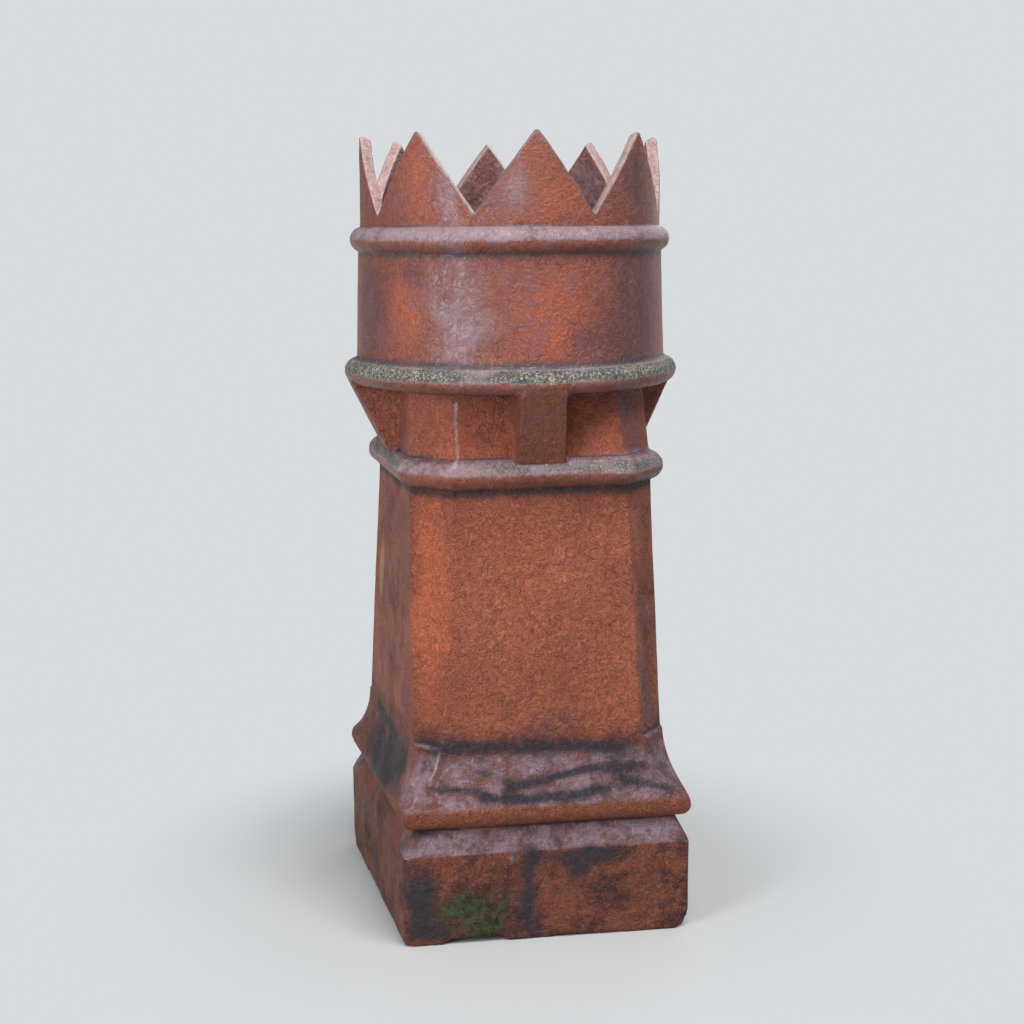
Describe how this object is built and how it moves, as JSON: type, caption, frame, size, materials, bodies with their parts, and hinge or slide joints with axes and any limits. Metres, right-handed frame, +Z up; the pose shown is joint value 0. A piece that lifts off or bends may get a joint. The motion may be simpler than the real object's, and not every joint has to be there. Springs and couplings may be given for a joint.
{
  "type": "chimney pot",
  "caption": "Terracotta chimney pot, hollow right through, with a square moulded base, tapering shaft, bracketed neck and round drum under a pointed crown.",
  "frame": {"origin": "centre of the underside of the plinth", "axes": "+Z up the axis of the flue; -Y out of the front face of the plinth"},
  "size_m": [0.355, 0.355, 0.8295],
  "materials": {
    "terracotta": "unglazed fired clay with a thin salt glaze, weathered, with lichen and moss"
  },
  "bodies": {
    "root": {"chimney_pot": "terracotta"}
  },
  "joints": []
}
